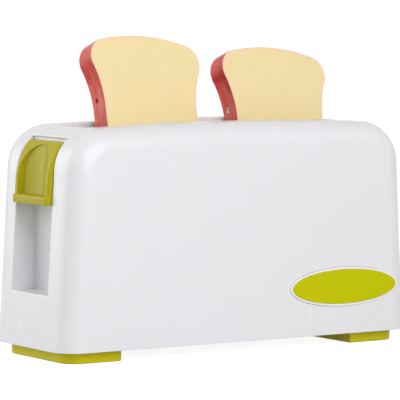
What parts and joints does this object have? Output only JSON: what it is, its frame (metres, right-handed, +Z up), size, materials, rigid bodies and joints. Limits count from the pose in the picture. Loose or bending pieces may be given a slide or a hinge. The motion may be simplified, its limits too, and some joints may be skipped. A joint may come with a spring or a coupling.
{
  "type": "toy toaster",
  "caption": "Toy pop-up toaster: long white slab casing with a slot in its top, a green lever in an end recess, bar feet, an oval badge and toast slices that lift out.",
  "frame": {"origin": "on the floor, under the middle of the casing", "axes": "+X along the slot away from the lever, +Z up, the badge faces -Y"},
  "size_m": [0.215, 0.0745, 0.1611],
  "materials": {
    "casing_white": "glossy white moulded plastic",
    "inner_grey": "matt light grey moulded plastic",
    "tray_white": "matt white moulded plastic",
    "foot_green": "satin lime-green moulded plastic",
    "lever_green": "satin lime-green moulded plastic",
    "badge_white": "glossy white",
    "badge_green": "glossy lime-green",
    "bush_black": "black self-lubricating plastic",
    "steel": "bright drawn steel",
    "spring_steel": "oiled spring steel",
    "screw_steel": "zinc-plated steel",
    "stop_rubber": "soft black rubber",
    "toast_crust": "satin red-brown moulded plastic",
    "toast_crumb": "satin cream moulded plastic"
  },
  "bodies": {
    "casing": {"casing": "casing_white", "base_plate": "inner_grey", "foot_left": "foot_green", "foot_right": "foot_green", "badge_plate": "badge_white", "badge_field": "badge_green", "guide_post": "inner_grey", "latch_pivot": "steel", "latch_bracket": "inner_grey", "stop_rings": "stop_rubber", "guide_rod_front": "steel", "guide_rod_rear": "steel", "return_spring_front": "spring_steel", "return_spring_rear": "spring_steel", "base_screws": "screw_steel", "foot_screws": "screw_steel", "post_screws": "screw_steel", "bracket_screw": "screw_steel"},
    "carriage": {"carriage": "inner_grey", "lever": "lever_green", "slide_bushes": "bush_black", "hinge_rod": "steel", "latch_plate": "bush_black", "latch_screws": "screw_steel", "lever_screw": "screw_steel"},
    "tray": {"toast_tray": "tray_white", "tilt_pin": "steel"},
    "toast_left": {"toast_left_crust": "toast_crust", "toast_left_front_face": "toast_crumb", "toast_left_back_face": "toast_crumb"},
    "toast_right": {"toast_right_crust": "toast_crust", "toast_right_front_face": "toast_crumb", "toast_right_back_face": "toast_crumb"},
    "latch_follower": {"latch_follower": "steel"}
  },
  "joints": [
    {"name": "lever_slide", "type": "slide", "parent": "casing", "child": "carriage", "axis": [0, 0, 1], "range_m": [-0.044, 0], "stiffness_N_per_m": 60, "springref_m": 0.03, "deforming": ["return_spring_front", "return_spring_rear"]},
    {"name": "tray_tilt", "type": "hinge", "parent": "carriage", "child": "tray", "pos_m": [-0.00292, -0.00572, 0.08195], "axis": [0.9968, 0, -0.0802], "range_deg": [0, 19.75]},
    {"name": "toast_left_lift", "type": "slide", "parent": "tray", "child": "toast_left", "axis": [0.0755, 0.3371, 0.9384], "range_m": [0, 0.05]},
    {"name": "toast_right_lift", "type": "slide", "parent": "tray", "child": "toast_right", "axis": [0.0755, 0.3371, 0.9384], "range_m": [0, 0.05]},
    {"name": "follower_swing", "type": "hinge", "parent": "casing", "child": "latch_follower", "pos_m": [-0.075, 0.021, 0.10416], "axis": [1, 0, 0], "range_deg": [0, 8.2]}
  ],
  "couplings": [
    {"joint": "tray_tilt", "follows": "lever_slide", "rad_per_m": -7.8143}
  ]
}
